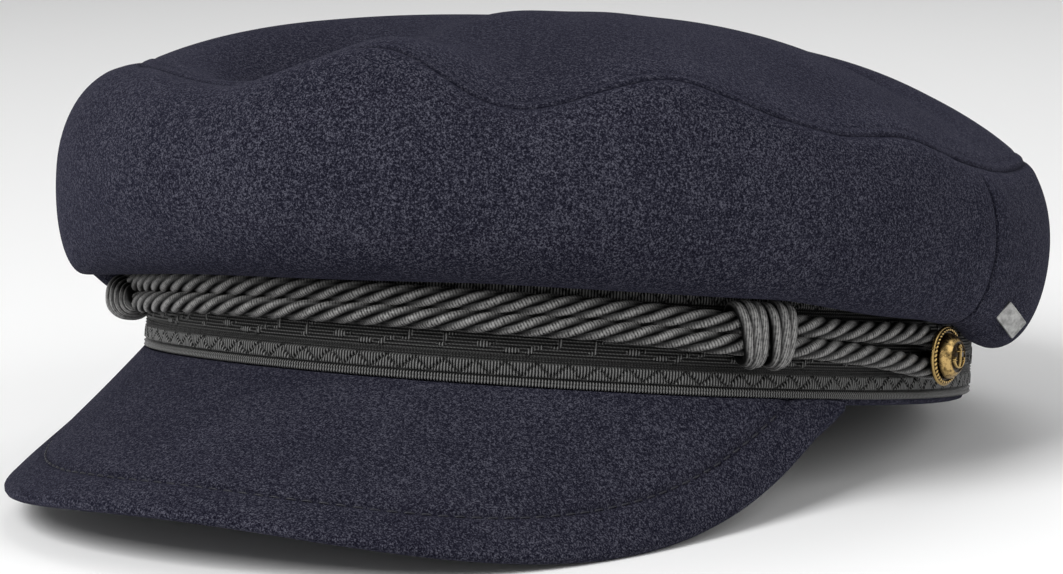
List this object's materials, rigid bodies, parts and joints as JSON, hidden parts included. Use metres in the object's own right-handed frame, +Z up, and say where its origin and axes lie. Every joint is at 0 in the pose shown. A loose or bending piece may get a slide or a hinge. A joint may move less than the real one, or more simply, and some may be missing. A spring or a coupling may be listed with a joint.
{
  "type": "cashmere cap",
  "caption": "Soft sailor's cap with a full crown over a trimmed headband, a twisted cord held by anchor buttons, and a short cloth-covered peak.",
  "frame": {"origin": "bottom centre of the bounding box, on the surface that the cap rests on", "axes": "+Z up as the cap rests on its peak and the back of its headband, front and peak towards -Y, the wearer's left towards +X"},
  "size_m": [0.2094, 0.2794, 0.0993],
  "materials": {
    "wool": "brushed navy cashmere cloth with a short nap and pale flecks",
    "trim": "black woven ribbon with raised satin motifs",
    "cord": "charcoal satin twisted cord",
    "brass": "antique, dark in the recesses and rubbed bright on the relief",
    "plate": "satin silver, bare"
  },
  "bodies": {
    "root": {"crown_front": "wool", "crown_back": "wool", "crown_top": "wool", "headband": "wool", "trim_band": "trim", "peak": "wool", "chin_cord": "cord", "knot_right": "cord", "knot_left": "cord", "button_right": "brass", "button_left": "brass", "side_plate": "plate"}
  },
  "joints": []
}
